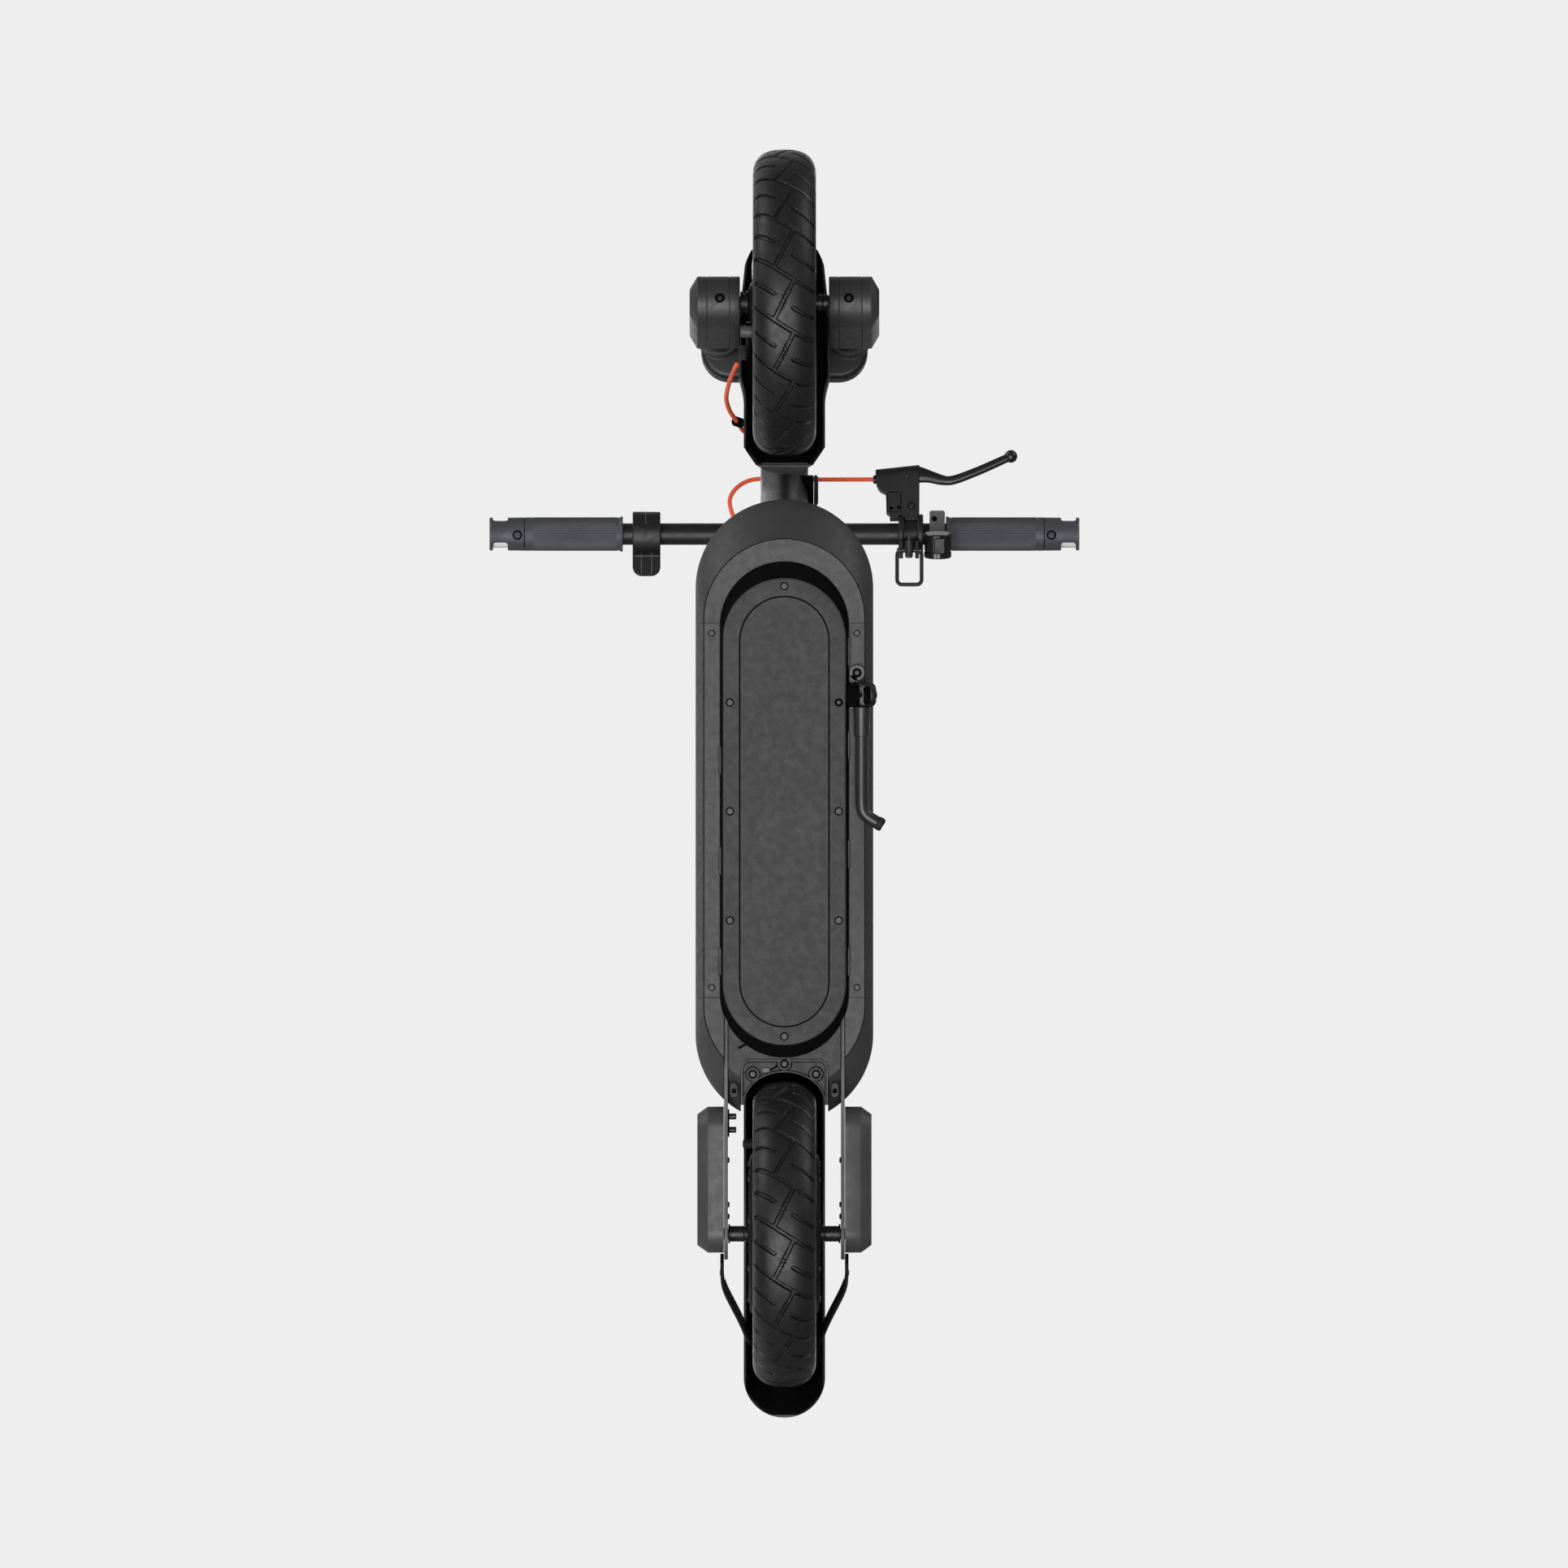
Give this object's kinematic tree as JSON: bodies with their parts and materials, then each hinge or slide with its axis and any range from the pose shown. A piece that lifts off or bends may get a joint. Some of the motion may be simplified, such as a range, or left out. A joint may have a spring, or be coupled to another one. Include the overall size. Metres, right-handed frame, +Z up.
{
  "type": "electric kick scooter",
  "caption": "Folding electric kick scooter with a flat deck, a front suspension fork, a drum brake, a rear hub motor, fenders, a side stand and a straight handlebar.",
  "frame": {"origin": "on the ground, under the middle of the scooter's bounding box", "axes": "+X forward, +Y to the rider's left, +Z up"},
  "size_m": [1.1719, 0.545, 1.185],
  "materials": {
    "hull_plastic": "satin",
    "rail_plastic": "satin",
    "cover_plastic": "matte",
    "mat_rubber": "matte",
    "battery_wrap": "satin",
    "raw_alloy": "satin",
    "frame_paint": "satin",
    "casing_plastic": "satin",
    "black_alloy": "satin",
    "black_plastic": "satin",
    "black_paint": "satin",
    "tyre_rubber": "matte",
    "soft_rubber": "matte",
    "grip_rubber": "matte",
    "steel": "satin",
    "cable_orange": "satin",
    "clear_lens": "gloss",
    "red_lens": "gloss"
  },
  "bodies": {
    "deck": {"deck_shell": "hull_plastic", "deck_mat": "mat_rubber", "side_rail_left": "rail_plastic", "side_rail_right": "rail_plastic", "battery_cover": "cover_plastic", "battery_pack": "battery_wrap", "controller": "raw_alloy", "neck_tube": "frame_paint", "head_tube": "frame_paint", "headset_bearing_lower": "steel", "headset_bearing_upper": "steel", "rear_plate_left": "frame_paint", "rear_plate_right": "frame_paint", "rear_cover_left": "casing_plastic", "rear_cover_right": "casing_plastic", "rear_bracket": "black_plastic", "rear_fender": "black_plastic", "fender_stay": "frame_paint", "tail_light": "red_lens", "charge_port": "black_plastic", "kickstand_bracket": "black_plastic", "rear_axle": "steel", "motor_stator": "raw_alloy"},
    "kickstand": {"kickstand_leg": "black_paint", "kickstand_bumper": "soft_rubber"},
    "charge_cap": {"charge_port_cap": "soft_rubber"},
    "steerer": {"fork_crown": "black_alloy", "fork_leg_left": "black_alloy", "fork_leg_right": "black_alloy", "front_fender": "black_plastic", "stem_base": "frame_paint", "fold_pin": "steel"},
    "unsprung": {"fork_casing_left": "casing_plastic", "fork_casing_right": "casing_plastic", "front_axle": "steel", "brake_plate": "steel"},
    "brake_arm": {"brake_arm": "black_paint"},
    "front_wheel": {"front_tyre": "tyre_rubber", "front_rim": "black_alloy"},
    "rear_wheel": {"rear_tyre": "tyre_rubber", "motor_shell": "black_alloy"},
    "stem": {"stem_tube": "frame_paint", "handlebar": "frame_paint", "dash_housing": "black_plastic", "display_panel": "clear_lens", "headlight": "clear_lens", "grip_left": "grip_rubber", "grip_right": "grip_rubber", "signal_left": "black_plastic", "signal_right": "black_plastic", "throttle_housing": "black_plastic", "brake_bracket": "black_plastic", "bell_body": "black_plastic", "brake_cable": "cable_orange"},
    "fold_lever": {"fold_lever": "black_plastic"},
    "brake_lever": {"brake_lever": "black_paint"},
    "throttle_lever": {"throttle_lever": "black_plastic"},
    "bell_lever": {"bell_lever": "black_plastic"},
    "latch_loop": {"latch_loop": "steel"},
    "power_button": {"power_button": "black_plastic"}
  },
  "joints": [
    {"name": "steering", "type": "hinge", "parent": "deck", "child": "steerer", "pos_m": [0.37587, 0, 0.39265], "axis": [-0.1908, 0, 0.9816], "range_deg": [-60, 60]},
    {"name": "suspension", "type": "slide", "parent": "steerer", "child": "unsprung", "axis": [-0.1908, 0, 0.9816], "range_m": [-0.004, 0.016], "stiffness_N_per_m": 12000},
    {"name": "front_wheel_spin", "type": "hinge", "parent": "unsprung", "child": "front_wheel", "pos_m": [0.44445, 0, 0.14152], "axis": [0, 1, 0], "continuous": true},
    {"name": "brake_arm_pivot", "type": "hinge", "parent": "unsprung", "child": "brake_arm", "pos_m": [0.4198, -0.033, 0.15303], "axis": [0, -1, 0], "range_deg": [0, 18]},
    {"name": "rear_wheel_spin", "type": "hinge", "parent": "deck", "child": "rear_wheel", "pos_m": [-0.416, 0, 0.1415], "axis": [0, 1, 0], "continuous": true},
    {"name": "stem_fold", "type": "hinge", "parent": "steerer", "child": "stem", "pos_m": [0.35889, 0, 0.48002], "axis": [0, -1, 0], "range_deg": [0, 91.6]},
    {"name": "fold_lever_pivot", "type": "hinge", "parent": "steerer", "child": "fold_lever", "pos_m": [0.39338, 0, 0.45718], "axis": [0, 1, 0], "range_deg": [0, 75]},
    {"name": "brake_lever_pivot", "type": "hinge", "parent": "stem", "child": "brake_lever", "pos_m": [0.2845, 0.113, 1.15048], "axis": [-0.1908, 0, 0.9816], "range_deg": [0, 20]},
    {"name": "throttle_turn", "type": "hinge", "parent": "stem", "child": "throttle_lever", "pos_m": [0.2306, -0.121, 1.14], "axis": [0, -1, 0], "range_deg": [0, 30]},
    {"name": "bell_lever_pivot", "type": "hinge", "parent": "stem", "child": "bell_lever", "pos_m": [0.22025, 0.1417, 1.1115], "axis": [0.9877, 0, -0.1564], "range_deg": [0, 25]},
    {"name": "latch_loop_pivot", "type": "hinge", "parent": "stem", "child": "latch_loop", "pos_m": [0.21558, 0.115, 1.11263], "axis": [0, -1, 0], "range_deg": [0, 80]},
    {"name": "power_button_press", "type": "slide", "parent": "stem", "child": "power_button", "axis": [0.1908, 0, -0.9816], "range_m": [0, 0.0015]},
    {"name": "kickstand_pivot", "type": "hinge", "parent": "deck", "child": "kickstand", "pos_m": [0.082, 0.0715, 0.098], "axis": [0, -0.9063, -0.4226], "range_deg": [0, 120]},
    {"name": "charge_cap_hinge", "type": "hinge", "parent": "deck", "child": "charge_cap", "pos_m": [0.271, 0.0293, 0.334], "axis": [1, 0, 0], "range_deg": [0, 110]}
  ],
  "couplings": [
    {"joint": "brake_arm_pivot", "follows": "brake_lever_pivot", "ratio": 0.9}
  ]
}
